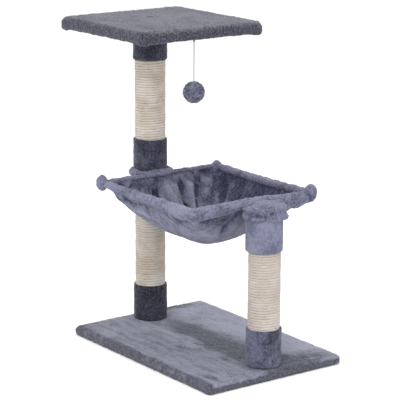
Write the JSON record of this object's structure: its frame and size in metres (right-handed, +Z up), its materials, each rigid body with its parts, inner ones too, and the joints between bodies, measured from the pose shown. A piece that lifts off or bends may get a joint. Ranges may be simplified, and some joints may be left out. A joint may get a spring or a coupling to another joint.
{
  "type": "cat tree",
  "caption": "Small plush and sisal cat tree: flat base, rope-wound posts with a hammock slung between them, a padded perch on the taller post and a ball on a string.",
  "frame": {"origin": "on the floor, at the centre of the rectangle that the whole object covers seen from above", "axes": "+Z up; +X from the tall post to the short post, along the base's long side; +Y along the base's short side"},
  "size_m": [0.5924, 0.359, 0.728],
  "materials": {
    "plush": "short slate violet pile with light and dark nap",
    "sisal": "twisted natural rope, wound tight",
    "string": "thin white twisted cord",
    "board": "raw chipboard",
    "wood_plug": "raw sawn wood",
    "cardboard": "spiral-wound cardboard, matt",
    "foam": "open-cell foam sheet",
    "filling": "loose polyester filling",
    "zinc_steel": "zinc-plated",
    "staple_wire": "bright galvanised wire",
    "frame_wire": "black powder coat"
  },
  "bodies": {
    "root": {"back_lower_bottom_collar": "plush", "back_lower_bottom_plug": "wood_plug", "back_lower_sisal": "sisal", "back_lower_top_collar": "plush", "back_lower_top_plug": "wood_plug", "back_lower_tube": "cardboard", "back_upper_bottom_collar": "plush", "back_upper_bottom_plug": "wood_plug", "back_upper_sisal": "sisal", "back_upper_top_collar": "plush", "back_upper_top_plug": "wood_plug", "back_upper_tube": "cardboard", "base_board": "board", "base_bolts": "zinc_steel", "base_cover": "plush", "base_staples": "staple_wire", "base_washers": "zinc_steel", "front_bottom_collar": "plush", "front_bottom_plug": "wood_plug", "front_sisal": "sisal", "front_top_collar": "plush", "front_top_plug": "wood_plug", "front_tube": "cardboard", "hammock_back_flap": "plush", "hammock_back_sleeve": "plush", "hammock_bolt": "zinc_steel", "hammock_corner_knobs": "plush", "hammock_frame": "frame_wire", "hammock_front_flap": "plush", "hammock_front_sleeve": "plush", "hammock_left_sleeve": "plush", "hammock_right_sleeve": "plush", "hammock_sling": "plush", "hammock_washer": "zinc_steel", "joining_stud": "zinc_steel", "perch_board": "board", "perch_bolt": "zinc_steel", "perch_cover": "plush", "perch_pad": "foam", "perch_staples": "staple_wire", "perch_washer": "zinc_steel", "threaded_inserts": "zinc_steel", "toy_anchor_staple": "staple_wire"},
    "toy_knot": {"toy_knot": "string"},
    "toy_string": {"toy_string": "string"},
    "toy_ball": {"toy_ball_cover": "plush", "toy_ball_filling": "filling"}
  },
  "joints": [
    {"name": "toy_swing_fore_aft", "type": "hinge", "parent": "root", "child": "toy_knot", "pos_m": [0.00625, -0.011, 0.6953], "axis": [0, 1, 0], "range_deg": [-60, 60]},
    {"name": "toy_swing_sideways", "type": "hinge", "parent": "toy_knot", "child": "toy_string", "pos_m": [0.00625, -0.011, 0.6953], "axis": [1, 0, 0], "range_deg": [-60, 60]},
    {"name": "toy_ball_spin", "type": "hinge", "parent": "toy_string", "child": "toy_ball", "pos_m": [0.00625, -0.011, 0.5828], "axis": [0, 0, 1], "continuous": true}
  ]
}
